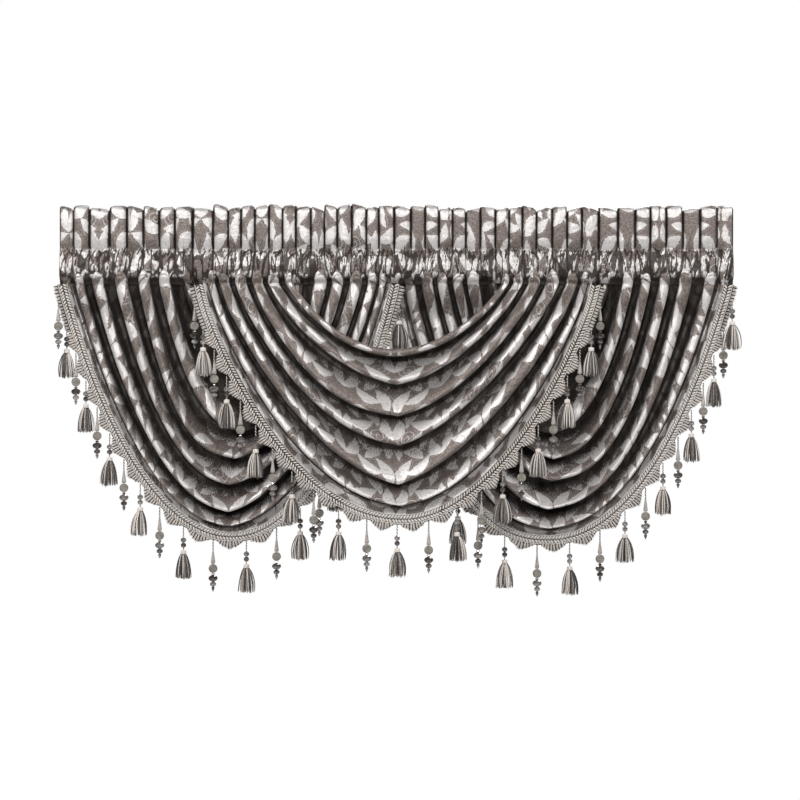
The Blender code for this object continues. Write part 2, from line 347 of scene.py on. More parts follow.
def cloth_row(swag, lines, turn, seed):
    """The cloth along one line, turn folds down from the top edge: points, place along it and painted
    shade.
    """
    last = len(swag.folds) - 1
    wave = math.cos(2 * math.pi * turn)
    straight = np.full(CLOTH_COLUMNS, float(turn))
    side = at_level(lines["side"], straight)
    along = at_level(lines["along"], straight)
    # full is 1 at a swag's bottom and 0 at its ends; the other grows towards the valance's middle
    full = 1 - side * side
    hang = (full, side * INWARD[swag.name])
    level = fold_level(swag, turn, hang, wave)
    x = at_level(lines["x"], level)
    z = at_level(lines["z"], level)
    pointed = smooth_step(*POINTS_START, turn) * (1 - smooth_step(*POINTS_STOP, turn)) * (1 + wave) / 2
    z = z - POINT_DROP * pointed * np.exp(-np.abs(side) / POINT_REACH)
    share = 1 - (1 - HEM_RISE_SHARE) * smooth_step(last - 1.0, last - 0.5, turn)
    near_top = smooth_step(*NEAR_TOP, -z)
    rise = share * wave * (1 + relief(UNEVEN_FOLDS, along, turn, seed)) * fold_rise(swag, side, z)
    minor = full * near_top * relief(MINOR_FOLDS, along, turn, seed + 1)
    crinkle = share * near_top * relief(CRINKLES, along, turn, seed + 2)
    y = hang_depth(swag, side, x, z) - rise - minor - crinkle
    for crease in map(Crease._make, CREASES[swag.name]):
        off_side = (side - crease.side) / crease.side_reach
        off_turn = (turn - crease.turn) / crease.turn_reach
        y = y + crease.depth * MM * np.exp(-off_side ** 2 - off_turn ** 2)
    points = np.stack([x, y, z - HEADING_HEIGHT - GAP], axis=-1)
    return points, along, painted_fold_shade(swag, turn, hang, wave, near_top)


def knuckled(turn, points, along, painted_shade):
    """A row with both its ends carried up over the foot of the pocket, in a knuckle on each crest."""
    crest = (1 + math.cos(2 * math.pi * turn)) / 2
    up = np.linspace(0, KNUCKLE_REACH, KNUCKLE_ROWS + 1)[1:]
    share = np.minimum(1, up / up[-1] / (VALLEY_REACH + (1 - VALLEY_REACH) * crest ** 1.5))
    # each knuckle has its own height, which depends on its fold and place
    low, high = KNUCKLE_TALL
    tall = low + (high - low) * (math.sin(turn * 5.1 + points[0, 0] * 90) + 1) / 2
    arch = np.exp(-((share - CREASE_PLACE) / CREASE_HALF) ** 2) * crest
    puff = KNUCKLE_PUFF * crest * np.sin(math.pi * share) - KNUCKLE_CREASE * arch
    inside = (VALLEY_END + (CREST_END - VALLEY_END) * crest) * MM
    ends = []
    for end in (points[0], points[-1]):
        rise = np.repeat(end[None], KNUCKLE_ROWS, axis=0)
        rise[:, 1] += (inside - rise[:, 1]) * share ** 2 - puff * MM
        rise[:, 2] += up * tall * (VALLEY_REACH + (1 - VALLEY_REACH) * crest ** 2) * MM
        ends.append(rise)
    # painted shade on a knuckle: darker up towards the pocket and in the crease across it
    dark = np.clip(0.1 * share + 0.9 * smooth_step(*KNUCKLE_SHADE, share) + 0.3 * arch, 0, 1)
    points = np.concatenate([ends[0][::-1], points, ends[1]])
    along = np.concatenate([(along[0] - up * MM)[::-1], along, along[-1] + up * MM])
    painted_shade = np.concatenate([np.maximum(painted_shade[0], dark)[::-1], painted_shade, np.maximum(painted_shade[-1], dark)])
    return points, along, painted_shade


def cloth_panel(swag, seed, material):
    """One swag of cloth on its solid's folds, its hem under the braid."""
    last = len(swag.folds) - 1
    levels = np.linspace(0, last, LEVELS_PER_FOLD * last + 1)
    drawn = [fold_line(blend_folds(swag.folds, level), CLOTH_COLUMNS) for level in levels]
    lines = {key: np.array([line[k] for line in drawn]) for k, key in enumerate(("x", "z", "side"))}
    lines["along"] = np.array([np.linspace(-line[3] / 2, line[3] / 2, CLOTH_COLUMNS) for line in drawn])
    rows = [knuckled(turn, *cloth_row(swag, lines, turn, seed))
            for turn in np.linspace(0, last, ROWS_PER_FOLD * last + 1)]
    first, first_along, first_painted_shade = rows[0]
    rows.insert(0, (first + np.array(SEAM_OFFSET) * MM, first_along, first_painted_shade))
    points = np.array([row[0] for row in rows])
    along = np.array([row[1] for row in rows])
    down = np.linalg.norm(np.diff(points, axis=0), axis=2)
    middle = points.shape[1] // 2
    bottom = down[:, middle - BOTTOM_COLUMNS:middle + BOTTOM_COLUMNS]
    drop = np.concatenate(([0], np.cumsum(bottom.mean(axis=1))))
    cloth_uv = np.stack([along, -np.repeat(drop[:, None], points.shape[1], axis=1)], axis=-1)
    painted_shade = np.array([row[2] for row in rows])
    return grid_sheet(f"cloth_{swag.name}", points, cloth_uv, painted_shade, material), along, drop


# Colours
GROUND = (0.110, 0.087, 0.077)
GROUND_LIGHT = (0.275, 0.234, 0.214)
LEAF = (0.690, 0.661, 0.645)
LEAF_SHADE = (0.44, 0.407, 0.388)
# the colour of the painted shade in the folds, between the pleats, behind the pocket and behind the centre
# swag
FOLD_SHADE = (0.024, 0.017, 0.013)
THREAD_LIGHT = (0.66, 0.60, 0.55)
THREAD_DARK = (0.030, 0.022, 0.018)
STONE_DARK = (0.15, 0.132, 0.11)
STONE_LIGHT = (0.235, 0.215, 0.185)
BEAD_DARK = (0.075, 0.062, 0.055)
BEAD_LIGHT = (0.62, 0.59, 0.57)


class Nodes:
    """A new material, with short calls for its shader nodes."""

    def __init__(self, name):
        self.material = bpy.data.materials.new(name)
        self.material.use_nodes = True
        self.tree = self.material.node_tree
        self.shader = self.tree.nodes["Principled BSDF"]

    def add(self, kind, **settings):
        node = self.tree.nodes.new(kind)
        for key, value in settings.items():
            setattr(node, key, value)
        return node

    def feed(self, socket, value):
        """Links an output to a socket, or sets a plain value on it."""
        if hasattr(value, "is_output"):
            self.tree.links.new(value, socket)
        else:
            socket.default_value = value

    def shade(self, name, value):
        """Links an output to one of the shader's own sockets, or sets a plain value on it."""
        self.feed(self.shader.inputs[name], value)

    def place(self):
        """Coordinates of the object itself."""
        return self.add("ShaderNodeTexCoord").outputs["Object"]

    def highest(self, fields):
        """The highest of several values."""
        highest = fields[0]
        for field in fields[1:]:
            highest = self.math("MAXIMUM", highest, field)
        return highest

    def math(self, operation, first, second=0.0, third=0.0):
        node = self.add("ShaderNodeMath", operation=operation)
        for socket, value in zip(node.inputs, (first, second, third)):
            self.feed(socket, value)
        return node.outputs[0]

    def band(self, value, low, high):
        """0 below low, 1 above high, and a smooth way between."""
        node = self.add("ShaderNodeMapRange", interpolation_type="SMOOTHSTEP")
        for socket, number in zip(node.inputs[:3], (value, low, high)):
            self.feed(socket, number)
        return node.outputs[0]

    def mix(self, share, first, second):
        node = self.add("ShaderNodeMix", data_type="RGBA")
        for name, value in ((0, share), (6, first), (7, second)):
            if isinstance(value, tuple):
                value = (*value, 1)
            self.feed(node.inputs[name], value)
        return node.outputs[2]

    def noise(self, vector, scale, detail=2.0, stretch=None):
        if stretch:
            vector = self.mapping(vector, scale=stretch)
        node = self.add("ShaderNodeTexNoise")
        self.feed(node.inputs["Vector"], vector)
        node.inputs["Scale"].default_value = scale
        node.inputs["Detail"].default_value = detail
        return node.outputs["Fac"]

    def mapping(self, vector, location=(0, 0, 0), rotation=0.0, scale=(1, 1, 1)):
        node = self.add("ShaderNodeMapping", vector_type="POINT")
        self.feed(node.inputs["Vector"], vector)
        node.inputs["Location"].default_value = location
        node.inputs["Rotation"].default_value = (0, 0, rotation)
        node.inputs["Scale"].default_value = scale
        return node.outputs[0]

    def split(self, vector):
        node = self.add("ShaderNodeSeparateXYZ")
        self.feed(node.inputs[0], vector)
        return node.outputs[0], node.outputs[1]

    def join(self, x, y):
        node = self.add("ShaderNodeCombineXYZ")
        self.feed(node.inputs[0], x)
        self.feed(node.inputs[1], y)
        return node.outputs[0]

    def bump(self, height, distance, strength=1.0, normal=None):
        """A raised surface, over another one if given."""
        node = self.add("ShaderNodeBump")
        node.inputs["Strength"].default_value = strength
        node.inputs["Distance"].default_value = distance
        self.feed(node.inputs["Height"], height)
        if normal:
            self.feed(node.inputs["Normal"], normal)
        return node.outputs[0]


# One repeat of the woven design, mirrored about its upright middle, in mm of flat cloth
PATTERN_SHRINK = 1.5
REPEAT_WIDTH = 360
REPEAT_HEIGHT = 400

# This many whole repeats are added before a remainder is taken, so that no coordinate is below 0
REPEATS_BEFORE = 20
LEAF_STRETCH = 1.15
SCROLL_LINE = 0.09
Leaf = namedtuple("Leaf", "across up turn length width bend")
LEAVES = (
    Leaf(26, 40, 62, 96, 44, 0.35),
    Leaf(92, 30, 18, 92, 40, -0.45),
    Leaf(150, 74, 112, 92, 42, 0.40),
    Leaf(78, 100, 138, 84, 38, -0.35),
    Leaf(18, 140, 84, 84, 40, 0.20),
    Leaf(124, 152, 44, 96, 46, 0.50),
    Leaf(64, 192, 22, 90, 42, -0.40),
    Leaf(162, 222, 98, 80, 36, 0.30),
    Leaf(108, 248, 150, 98, 44, 0.35),
    Leaf(24, 262, 72, 84, 40, -0.30),
    Leaf(72, 320, 48, 96, 44, 0.45),
    Leaf(146, 322, 78, 86, 40, -0.35),
    Leaf(20, 352, 110, 64, 32, 0.25),
    Leaf(116, 380, 160, 70, 30, -0.30),
)
Scroll = namedtuple("Scroll", "across up reach pitch hand")
SCROLLS = (
    Scroll(48, 226, 36, 17, -1),
    Scroll(128, 106, 30, 16, 1),
)


def leaf_field(nodes, flat, leaf):
    """Above 0 inside one leaf, falling off around it."""
    turned = nodes.mapping(nodes.mapping(flat, location=(-leaf.across, -leaf.up, 0)),
                           rotation=-math.radians(leaf.turn))
    along, across = nodes.split(turned)
    share = nodes.math("DIVIDE", along, leaf.length / 2 * LEAF_STRETCH)
    square = nodes.math("POWER", nodes.math("ABSOLUTE", share), 2.0)
    bent = nodes.math("MULTIPLY_ADD", square, leaf.bend * leaf.width, across)
    off = nodes.math("DIVIDE", nodes.math("ABSOLUTE", bent), leaf.width / 2)
    return nodes.math("SUBTRACT", nodes.math("SUBTRACT", 1.0, square), off)


def scroll_field(nodes, flat, scroll):
    """Above 0 on the line of one spiral scroll."""
    moved = nodes.mapping(flat, location=(-scroll.across, -scroll.up, 0))
    along, across = nodes.split(moved)
    reach = nodes.math("SQRT", nodes.math("ADD", nodes.math("MULTIPLY", along, along),
                                          nodes.math("MULTIPLY", across, across)))
    angle = nodes.math("DIVIDE", nodes.math("ARCTAN2", across, along), 2 * math.pi * scroll.hand)
    turn = nodes.math("FRACT", nodes.math("SUBTRACT", nodes.math("DIVIDE", reach, scroll.pitch), angle))
    line = nodes.math("SUBTRACT", SCROLL_LINE, nodes.math("ABSOLUTE", nodes.math("SUBTRACT", turn, 0.5)))
    inside = nodes.math("SUBTRACT", 1.0, nodes.math("DIVIDE", reach, scroll.reach))
    return nodes.math("MINIMUM", nodes.math("MULTIPLY", line, 4.0), nodes.math("MULTIPLY", inside, 5.0))


def jacquard_material():
    """Satin jacquard: pale leaves and scrolls with drawn outlines on a mottled taupe ground, and painted
    shade in its folds.
    """
    nodes = Nodes("jacquard")
    cloth = nodes.add("ShaderNodeUVMap", uv_map="cloth").outputs[0]
    flat = nodes.mapping(cloth, scale=(1000 * PATTERN_SHRINK, 1000 * PATTERN_SHRINK, 1))
    waver = nodes.noise(flat, 0.03, 1.0)
    across, up = nodes.split(flat)
    across = nodes.math("MULTIPLY_ADD", waver, 14.0, across)
    across = nodes.math("ADD", across, REPEATS_BEFORE * REPEAT_WIDTH)
    across = nodes.math("PINGPONG", across, REPEAT_WIDTH / 2)
    up = nodes.math("ADD", up, REPEATS_BEFORE * REPEAT_HEIGHT)
    up = nodes.math("MODULO", up, REPEAT_HEIGHT)
    tile = nodes.join(across, up)
    field = nodes.highest([leaf_field(nodes, tile, leaf) for leaf in LEAVES])
    lines = nodes.highest([scroll_field(nodes, tile, scroll) for scroll in SCROLLS])
    feather = nodes.noise(flat, 0.16, 3.0, stretch=(2.6, 0.35, 1))
    ragged = nodes.math("MULTIPLY_ADD", feather, 0.9, nodes.math("SUBTRACT", field, 0.45))
    leaf_mask = nodes.band(ragged, -0.03, 0.05)
    outline = nodes.math("SUBTRACT", nodes.band(field, -0.37, -0.33), nodes.band(field, -0.27, -0.23))
    open_ground = nodes.math("SUBTRACT", 1.0, leaf_mask)
    scroll_mask = nodes.math("MULTIPLY", nodes.band(lines, 0.0, 0.1), open_ground)
    mottle = nodes.noise(flat, 0.11, 4.0, stretch=(1.0, 1.8, 1))
    thread = nodes.noise(flat, 0.9, 2.0, stretch=(2.2, 0.25, 1))
    lash = nodes.noise(flat, 0.34, 2.0, stretch=(1.2, 0.22, 1))
    weave = nodes.math("MULTIPLY_ADD", thread, 0.3, nodes.math("MULTIPLY", mottle, 0.4))
    weave = nodes.math("MULTIPLY_ADD", lash, 0.3, weave)
    ground = nodes.mix(nodes.band(weave, 0.40, 0.61), GROUND, GROUND_LIGHT)
    leaf_tone = nodes.mix(nodes.band(weave, 0.34, 0.56), LEAF_SHADE, LEAF)
    colour = nodes.mix(leaf_mask, ground, leaf_tone)
    colour = nodes.mix(nodes.math("MULTIPLY", outline, 0.45), colour, LEAF_SHADE)
    colour = nodes.mix(nodes.math("MULTIPLY", scroll_mask, 0.55), colour, LEAF)
    # painted shade: the fold attribute says how much of the colour goes over to FOLD_SHADE, with a ragged
    # edge from the lash noise
    painted_shade = nodes.add("ShaderNodeAttribute", attribute_name="fold").outputs["Fac"]
    ragged_painted_shade = nodes.math("ADD", nodes.math("SUBTRACT", lash, 0.5), painted_shade)
    shaded = nodes.math("MULTIPLY", nodes.band(ragged_painted_shade, 0.20, 0.52), 0.94)
    colour = nodes.mix(shaded, colour, FOLD_SHADE)
    nodes.shade("Base Color", colour)
    figure = nodes.math("MAXIMUM", leaf_mask, scroll_mask)
    rough = nodes.math("MULTIPLY_ADD", figure, -0.10, 0.46)
    nodes.shade("Roughness", nodes.math("MULTIPLY_ADD", thread, 0.08, rough))
    nodes.shade("Metallic", 0.45)
    nodes.shade("Specular IOR Level", 0.2)
    nodes.shade("Sheen Weight", 0.06)
    nodes.shade("Sheen Roughness", 0.4)
    raised = nodes.math("MULTIPLY_ADD", figure, 0.6, nodes.math("MULTIPLY", thread, 0.5))
    woven = nodes.bump(raised, 0.5 * MM)
    pucker = nodes.noise(flat, 0.075, 2.0)
    nodes.shade("Normal", nodes.bump(pucker, 2.5 * MM, 0.5, woven))
    return nodes.material


def tone_of(nodes):
    """The tone that each thread or bead was given."""
    return nodes.add("ShaderNodeAttribute", attribute_name="tone").outputs["Fac"]


def thread_material():
    """Spun thread: pale grey to dark brown by its tone, speckled and finely ribbed."""
    nodes = Nodes("thread")
    place = nodes.place()
    speckle = nodes.noise(place, 420.0, 2.0)
    ply = nodes.noise(place, 900.0, 1.0, stretch=(1, 1, 2.5))
    tone = nodes.math("ADD", tone_of(nodes), nodes.math("MULTIPLY_ADD", speckle, 0.7, -0.35))
    colour = nodes.mix(nodes.band(tone, 0.05, 0.95), THREAD_DARK, THREAD_LIGHT)
    nodes.shade("Base Color", colour)
    nodes.shade("Roughness", nodes.math("MULTIPLY_ADD", ply, 0.2, 0.42))
    nodes.shade("Sheen Weight", 0.25)
    nodes.shade("Normal", nodes.bump(ply, 0.6 * MM, 0.7))
    return nodes.material


def stone_material():
    """The flat discs: matt olive grey with faint clouds and pits."""
    nodes = Nodes("disc_stone")
    place = nodes.place()
    cloud = nodes.noise(place, 130.0, 3.0)
    pit = nodes.noise(place, 700.0, 2.0)
    colour = nodes.mix(nodes.band(cloud, 0.35, 0.65), STONE_DARK, STONE_LIGHT)
    nodes.shade("Base Color", colour)
    nodes.shade("Roughness", nodes.math("MULTIPLY_ADD", pit, 0.25, 0.4))
    nodes.shade("Normal", nodes.bump(pit, 0.3 * MM, 0.4))
    return nodes.material


def glass_material():
    """Smoky faceted beads, opaque and glossy, with a silvery cast that differs from bead to bead."""
    nodes = Nodes("smoky_bead")
    place = nodes.place()
    streak = nodes.noise(place, 260.0, 2.0)
    cast = nodes.math("MULTIPLY_ADD", tone_of(nodes), 0.4, -0.3)
    smoke = nodes.math("MULTIPLY_ADD", streak, 0.9, cast)
    colour = nodes.mix(nodes.band(smoke, 0.1, 0.9), BEAD_DARK, BEAD_LIGHT)
    nodes.shade("Base Color", colour)
    nodes.shade("Metallic", nodes.math("MULTIPLY_ADD", streak, 0.3, 0.45))
    nodes.shade("Roughness", nodes.math("MULTIPLY_ADD", streak, 0.12, 0.05))
    nodes.shade("Coat Weight", 0.6)
    return nodes.material


# Side view of a heading from the foot of the pocket's front, over the top, to its seam allowance
# behind the swag: depth and height in mm, how far the pleats puff out, and how much the cloth crumples
HEADING_PATH = (
    (-11, -184, 0.1, 0.2), (-14, -176, 0.2, 0.5), (-17, -166, 0.3, 0.9), (-18, -152, 0.3, 1.0),
    (-17, -138, 0.3, 1.0), (-13, -122, 0.35, 1.0), (-8, -109, 0.45, 1.0), (-4, -101, 0.3, 0.8),
    (-3.5, -97, 0.5, 0.5), (-4, -90, 0.95, 0.25), (-4, -75, 1.05, 0.1), (-4, -40, 1.1, 0),
    (-4, -10, 1.05, 0), (-2.5, -2, 0.7, 0), (0, 0, 0.1, 0), (2.5, -2, -0.5, 0), (3.5, -10, -0.8, 0),
    (4, -60, -0.8, 0.05), (4, -88, -0.6, 0.2), (5, -99, -0.3, 0.4), (14, -108, -0.3, 0.8),
    (18, -122, -0.3, 1.0), (20, -138, -0.3, 1.0), (20, -156, -0.3, 0.8), (21, -172, 0, 0.3),
    (23, -188, 0, 0), (27, -202, 0, 0),
)

# Points of the path at the pocket's upper seam and at the ruffle's top, and how the rows share it out
SEAM_STOP = 8
TOP_STOP = 14
ROW_SHARES = (0, 0.46, 0.64, 1)

# What differs from pleat to pleat: fullness as a factor, the others in mm
FULLNESS = (0.85, 1.15)
END_FULLNESS = 0.3
SHORTER = (0, 9)
TILT = (-5, 5)
LEAN = (-3, 3)
NOTCH = 5
CLOTH_GATHER = 1.25

# Heights in mm over which a heading goes over from one state into another
FOOT_TURN = (-166, -181)
FOOT_LIFT = (-172, -183)
LEAN_START = (-95, -20)
RUFFLE_EDGE = (-34, 0)
SEAM_HEIGHT = -99
SEAM_HALF = 8
FAN_TOP = -100
FAN_RUN = 78

# Lumps of the cloth in a heading: height in mm, width in metres and length along the path in mm.
# A fine crease's height is its share of a pinched one's.
Lump = namedtuple("Lump", "height width length")
SOFT_LUMP = Lump(1.5, 0.016, 40)
WIDE_LUMP = Lump(0.8, 0.03, 30)
SEAM_LUMP = Lump(3.5, 0.024, math.inf)
FINE_CREASE = Lump(0.8, 0.0115, 48)

# Painted shade between two pleats, by the place in a pleat, and in a crease, by its depth
BETWEEN_PLEATS = (0.77, 0.95)
IN_CREASE = (0.3, 0.8)

# An end pleat is tucked in beside the next heading. A fold's end is a tube this wide below the pocket.
TUCK = 3 * MM
TUBE_HALF = 10.5 * MM
FOLD_TOPS = sorted(end * MM for swag in SWAGS for fold in swag.folds for end in (fold.left, fold.right))


def lumps(grid, kind, seed):
    """Smooth unevenness of the cloth over a heading, in mm."""
    x, far = grid
    return kind.height * lattice_noise(x / kind.width, far / kind.length, seed)


def groove(a, b, seed):
    """Narrow winding creases, from 0 on the open cloth to 1 at the bottom of a crease."""
    return np.clip(1 - 3.0 * np.abs(lattice_noise(a, b, seed)), 0, 1)


def pocket_creases(grid, height, number, in_pleat, seed):
    """Creases that fan down from the pinched gaps between the pleats, and finer upright ones."""
    x, far = grid
    down = np.clip((FAN_TOP - height) / FAN_RUN, 0, 1)
    fan = np.sign(in_pleat) * (1 - np.abs(in_pleat)) / (0.3 + down)
    pinch = groove(number * 5.3 + fan * 1.9, down * 2.0 + 0 * x, seed)
    fine = groove(x / FINE_CREASE.width + 3 + down, far / FINE_CREASE.length, seed + 1)
    return np.maximum(pinch, FINE_CREASE.height * fine)


def fold_tubes(x):
    """1 above the middle of a fold's end and 0 beside it."""
    tube = np.zeros_like(x)
    for top in FOLD_TOPS:
        tube = np.maximum(tube, np.exp(-((x - top) / TUBE_HALF) ** 4))
    return tube


def heading_columns(recesses):
    """Columns across a heading: x, the number of each one's pleat and its place in it, from -1 to 1."""
    pleats = len(recesses) - 1
    place = np.linspace(0, pleats, pleats * PLEAT_COLUMNS + 1)
    x = np.interp(place, np.arange(pleats + 1), recesses)
    x = np.clip(x, recesses[0] + HEADING_END_INSET, recesses[-1] - HEADING_END_INSET)
    number = np.minimum(place.astype(int), pleats - 1)
    return x, number, 2 * (place - number) - 1


def heading_rows():
    """Rows of a heading: place along its path in mm, the path's four values, and which lie in front."""
    path = np.array(HEADING_PATH)
    far = np.concatenate(([0], np.cumsum(np.hypot(np.diff(path[:, 0]), np.diff(path[:, 1])))))
    even = np.interp(np.linspace(0, 1, HEADING_ROWS), ROW_SHARES, far[[0, SEAM_STOP, TOP_STOP, -1]])
    values = [np.interp(even, far, path[:, k])[:, None] for k in range(4)]
    return even, values, (even < far[TOP_STOP])[:, None]


def heading_sheet(name, recesses, seed, material):
    """One gathered section: cloth up the front of the pocket and ruffle, over the top and down behind."""
    x, number, in_pleat = heading_columns(np.array(recesses) * MM)
    even, (depth, height, puff, crumple), in_front = heading_rows()
    grid = np.meshgrid(x, even)
    rng = np.random.default_rng(seed)
    pleats = len(recesses) - 1
    fullness = rng.uniform(*FULLNESS, pleats)
    if name == "heading_left_outer":
        fullness[0] = END_FULLNESS
    if name == "heading_right_outer":
        fullness[-1] = END_FULLNESS
    shorter = rng.uniform(*SHORTER, pleats)[number]
    tilt = rng.uniform(*TILT, pleats)[number]
    lean = rng.uniform(*LEAN, pleats)[number]
    bulge = np.clip(1 - np.abs(in_pleat * 1.03) ** 4, 0, 1) ** 0.6

    # depth: pleats and creases, then the cloth turned in at the foot, forward over each fold's end
    creases = crumple * pocket_creases(grid, height, number, in_pleat, seed)
    soft = crumple * lumps(grid, SOFT_LUMP, seed + 2)
    tube = fold_tubes(grid[0])
    start = smooth_step(*FOOT_TURN, height + 7 * (tube - 0.5)) * in_front
    y = depth - puff * bulge * PLEAT_PUFF * fullness[number]
    y = y + np.where(in_front, 2.2 * creases + 0.8 * soft, -soft)
    y = y + start * (-1 - 6 * tube - y) * 0.9
    y = y + lumps(grid, WIDE_LUMP, seed + 3)

    # height: the ruffle's uneven edge, the lift over the folds' ends and the pinched upper seam
    z = height - smooth_step(*RUFFLE_EDGE, height) * ((1 - bulge) * NOTCH + shorter + tilt * in_pleat)
    z = z + in_front * smooth_step(*FOOT_LIFT, height) * 4 * tube
    pinched = in_front * np.exp(-((height - SEAM_HEIGHT) / SEAM_HALF) ** 2)
    z = z - pinched * (4 * bulge + lumps(grid, SEAM_LUMP, seed + 4))

    shift = MM * lean * (1 - np.abs(in_pleat)) * smooth_step(*LEAN_START, height)
    points = np.stack([grid[0] + shift, y * MM, z * MM], axis=-1)
    if name != "heading_right_outer":
        points[:, -1, 0] += TUCK
        points[:, -1, 1] -= np.clip(points[:, -1, 1], -TUCK, TUCK)
    across = np.hypot(np.diff(x), np.diff(bulge) * PLEAT_PUFF * MM)
    across = np.concatenate(([0], np.cumsum(across))) * CLOTH_GATHER + rng.uniform(0, 0.3)
    cloth_uv = np.stack(np.meshgrid(across, even * MM + rng.uniform(0, 0.4)), axis=-1)

    # painted shade: at the sides of the pleats and between them, in the creases and the crumpled cloth, a
    # little all over, at the pocket's foot beside the ends of the folds, and half as much on the back
    between = np.maximum(smooth_step(*BETWEEN_PLEATS, np.abs(in_pleat)), 0.45 * np.abs(in_pleat) ** 3)
    between = between * np.clip(np.abs(puff) * 1.3, 0, 1)
    painted_shade = np.maximum(between, np.maximum(smooth_step(*IN_CREASE, creases), 0.28 * crumple))
    painted_shade = np.maximum(painted_shade, 0.13) * (1 - start) + start * (1 - 0.85 * tube)
    painted_shade = np.where(in_front, painted_shade, 0.5 * painted_shade)
    return grid_sheet(name.replace("heading", "gathered"), points, cloth_uv, painted_shade, material), points


# Braid: rows of chained stitches between cords, from the cloth's hem outwards, in mm
BRAID_WIDTH = 27
STITCH_PITCH = 6.8
STITCH_LEAN = 0.85
STITCH_ROWS = ((4.6, 3.7), (13.8, 3.7))
STITCH_STOPS = (0, 0.2, 0.5, 0.8, 1.0)
STITCH_RADII = (0.7, 1.75, 2.1, 1.75, 0.7)
RIBBON_ROWS = 12
RIBBON_PITCH = 1.9
BAND_STOPS = 420
CORD_ROWS = ((-1.0, 0.9, 0.8), (9.2, 1.1, 0.0), (18.9, 1.0, 0.9), (20.8, 1.0, 0.0))

# Fans of strands between the drops, in mm, their half width as a share of the way between two drops,
# and the straight fringe at both ends of a braid, which has no fans
FAN_START = 18.5
FAN_NOTCH = 5
FAN_RISE = 13
FAN_STRANDS = 26
FAN_STOPS = 6
FAN_WIDTH = 0.36
FANS_FROM = 105
EDGE_FRINGE = 13.5
EDGE_PITCH = 2.5
EDGE_INSET = 4
# near-black strands of painted shade behind the fans and the fringe: radius and lift in mm, and tone
SHADE_STRAND_RADIUS = 1.6
SHADE_STRAND_LIFT = -0.6
SHADE_STRAND_TONE = 0.02
PALE_STRAND = 0.95

# Drops: distance below the braid's edge and radius, in mm. Cords and skirts: lengths in mm.
STRAND_ROOT = 1.2
CORD_PLY = 1.0
CORD_TURN = 7
WOUND_CONE = ((20, 1.6), (22, 2.2), (27, 2.6), (28.5, 3.0), (34, 3.6), (35.5, 4.0), (41, 4.6), (42.5, 5.0),
              (46.5, 5.4), (48.5, 4.6), (49.5, 2.0))
DISC = ((-2.5, 7.8), (-2.2, 9.2), (-1.2, 10), (1.2, 10), (2.2, 9.2), (2.5, 7.8))
DISC_BELOW = 60
DROP_BEADS = (
    ((70.4, 1.6), (71.4, 3.8), (73.4, 4.2), (74.8, 1.8)),
    ((75.0, 3.0), (77.6, 8.6), (81.2, 11.0), (84.2, 10.4), (87.6, 7.6), (89.6, 2.8)),
    ((90.0, 2.4), (92.2, 6.2), (95.4, 7.6), (98.6, 6.2), (101.0, 2.2)),
    ((101.4, 2.2), (103.6, 3.8), (106, 3.4), (110.5, 1.4), (112.5, 0.6)),
)
TASSEL_BEADS = (
    ((19.6, 2.0), (21.8, 5.6), (25.2, 7.0), (28.6, 5.8), (30.8, 2.0)),
    ((31.4, 2.2), (33.6, 5.4), (37.0, 6.6), (40.4, 5.2), (42.6, 2.0)),
)
HEAD_BAND = ((47.6, 2.4), (48.6, 5.6), (50.0, 6.9), (51.4, 6.3), (52.8, 7.1), (54.2, 6.4), (55.6, 7.0),
             (57.0, 5.8))
BEAD_CORD = 22
TASSEL_CORD = 49
CORD_STOPS = 26
CORD_RADIUS = 1.05
SKIRT_TOP = 55
SKIRT_FOOT = 113
SKIRT_STRANDS = 60
SKIRT_FLATNESS = 0.45
SKIRT_NECK = 5.2
SKIRT_WIDTH = (18, 22)
SKIRT_TONES = (0.0, 0.3, 1.0)
STRAND_RADII = (1.1, 1.35, 1.4, 1.4, 1.35, 1.2, 0.7)


def hem_track(swag):
    """A swag's hem from left to right: distance, points and outward directions, in metres."""
    x, z, side, length = fold_line(blend_folds(swag.folds, len(swag.folds) - 1), CURVE_SAMPLES)
    y = hang_depth(swag, side, x, z) - HEM_RISE_SHARE * fold_rise(swag, side, z)
    points = np.stack([x, y, z - HEADING_HEIGHT - GAP], axis=-1)
    slope = np.gradient(points, axis=0)
    outward = np.stack([slope[:, 2], 0 * x, -slope[:, 0]], axis=-1)
    outward /= np.linalg.norm(outward, axis=1, keepdims=True)
    return np.linspace(0, length, CURVE_SAMPLES), points, outward


def on_hem(track, run, out, lift):
    """Points beside the hem: run along it, out from it and lift to the front, all arrays in mm."""
    distance, points, outward = track
    run, out, lift = np.broadcast_arrays(run * MM, out * MM, lift * MM)
    spot = np.stack([np.interp(run, distance, points[:, k]) for k in range(3)], axis=-1)
    away = np.stack([np.interp(run, distance, outward[:, k]) for k in range(3)], axis=-1)
    spot = spot + away * out[..., None]
    spot[..., 1] -= lift
    return spot


